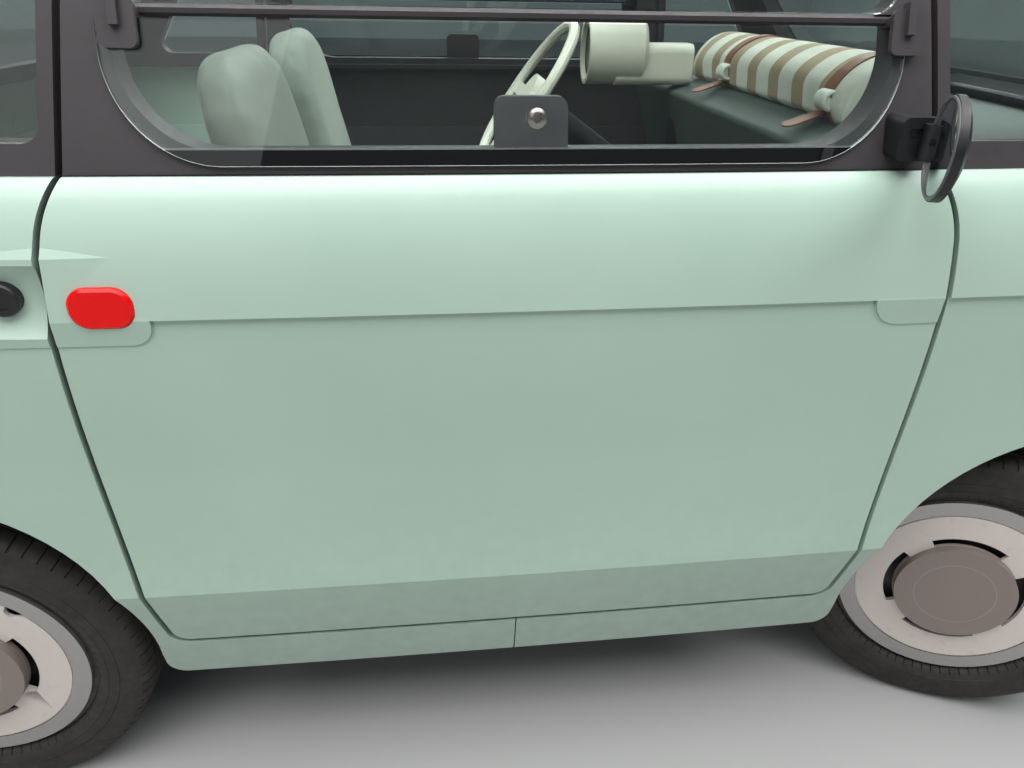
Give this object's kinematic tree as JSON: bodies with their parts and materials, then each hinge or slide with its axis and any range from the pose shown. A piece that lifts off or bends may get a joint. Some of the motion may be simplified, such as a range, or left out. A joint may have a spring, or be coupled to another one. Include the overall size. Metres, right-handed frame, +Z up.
{
  "type": "microcar",
  "caption": "Small boxy two-seat electric microcar with a trapezoid greenhouse, glass roof, side doors with flap windows, steered front wheels and a padded cabin.",
  "frame": {"origin": "on the ground below the middle of the car", "axes": "+X forward, +Y to the car's left, +Z up"},
  "size_m": [2.5348, 1.5644, 1.53],
  "materials": {
    "body_green": "satin",
    "frame_dark": "satin",
    "glass": "polished",
    "black_plastic": "matte",
    "reflector_red": "polished",
    "reflector_amber": "polished",
    "lamp_lens": "polished",
    "tail_lens": "polished",
    "chassis_steel": "satin",
    "battery_case": "matte",
    "motor_metal": "cast",
    "tyre": "matte",
    "rim_steel": "satin",
    "cover_plastic": "satin",
    "tub_black": "matte",
    "dash_grey": "matte",
    "pod_ivory": "satin",
    "seat_cover": "satin",
    "bag_cloth": "matte"
  },
  "bodies": {
    "body": {"nose_panel": "body_green", "tail_panel": "body_green", "corner_panels": "body_green", "greenhouse_frame": "frame_dark", "windscreen": "glass", "rear_window": "glass", "roof_glass": "glass", "quarter_glasses": "glass", "door_hinges": "chassis_steel", "door_buttons": "black_plastic", "wiper": "black_plastic", "headlamps": "lamp_lens", "tail_lamps": "tail_lens", "chassis_frame": "chassis_steel", "battery_pack": "battery_case", "drive_motor": "motor_metal", "front_suspension": "chassis_steel", "rear_suspension": "chassis_steel", "cabin_tub": "tub_black", "dashboard": "dash_grey", "instrument_pod": "pod_ivory", "steering_column": "black_plastic", "seat_bases": "black_plastic", "seats": "seat_cover", "dash_bag": "bag_cloth"},
    "door_right": {"door_panel_right": "body_green", "door_frame_right": "frame_dark", "door_glass_right": "glass", "door_mirror_right": "black_plastic", "door_reflector_right": "reflector_red"},
    "door_left": {"door_panel_left": "body_green", "door_frame_left": "frame_dark", "door_glass_left": "glass", "door_mirror_left": "black_plastic", "door_reflector_left": "reflector_amber"},
    "knuckle_right": {"knuckle_right": "chassis_steel"},
    "knuckle_left": {"knuckle_left": "chassis_steel"},
    "steering_wheel": {"steering_wheel": "black_plastic"},
    "wheel_fr": {"tyre_fr": "tyre", "rim_fr": "rim_steel", "cover_fr": "cover_plastic"},
    "wheel_fl": {"tyre_fl": "tyre", "rim_fl": "rim_steel", "cover_fl": "cover_plastic"},
    "wheel_rr": {"tyre_rr": "tyre", "rim_rr": "rim_steel", "cover_rr": "cover_plastic"},
    "wheel_rl": {"tyre_rl": "tyre", "rim_rl": "rim_steel", "cover_rl": "cover_plastic"}
  },
  "joints": [
    {"name": "door_right_hinge", "type": "hinge", "parent": "body", "child": "door_right", "pos_m": [0.515, -0.684, 0.671], "axis": [0, 0, 1], "range_deg": [0, 65]},
    {"name": "door_left_hinge", "type": "hinge", "parent": "body", "child": "door_left", "pos_m": [-0.515, 0.684, 0.671], "axis": [0, 0, 1], "range_deg": [0, 65]},
    {"name": "steer_left", "type": "hinge", "parent": "body", "child": "knuckle_left", "pos_m": [0.864, 0.5, 0.2785], "axis": [0, 0, 1], "range_deg": [-10, 60]},
    {"name": "steer_right", "type": "hinge", "parent": "body", "child": "knuckle_right", "pos_m": [0.864, -0.5, 0.2785], "axis": [0, 0, 1], "range_deg": [-10, 60]},
    {"name": "steering_wheel_turn", "type": "hinge", "parent": "body", "child": "steering_wheel", "pos_m": [0.12, 0.28, 1], "axis": [-0.8192, 0, 0.5736], "range_deg": [-140, 840]},
    {"name": "wheel_fr_axle", "type": "hinge", "parent": "knuckle_right", "child": "wheel_fr", "pos_m": [0.82913, -0.57477, 0.2785], "axis": [0.4226, 0.9063, 0], "continuous": true},
    {"name": "wheel_fl_axle", "type": "hinge", "parent": "knuckle_left", "child": "wheel_fl", "pos_m": [0.89887, 0.57477, 0.2785], "axis": [0.4226, 0.9063, 0], "continuous": true},
    {"name": "wheel_rr_axle", "type": "hinge", "parent": "body", "child": "wheel_rr", "pos_m": [-0.864, -0.5825, 0.2785], "axis": [0, 1, 0], "continuous": true},
    {"name": "wheel_rl_axle", "type": "hinge", "parent": "body", "child": "wheel_rl", "pos_m": [-0.864, 0.5825, 0.2785], "axis": [0, 1, 0], "continuous": true}
  ],
  "couplings": [
    {"joint": "steer_right", "follows": "steer_left", "ratio": 1},
    {"joint": "steering_wheel_turn", "follows": "steer_left", "ratio": 14}
  ]
}
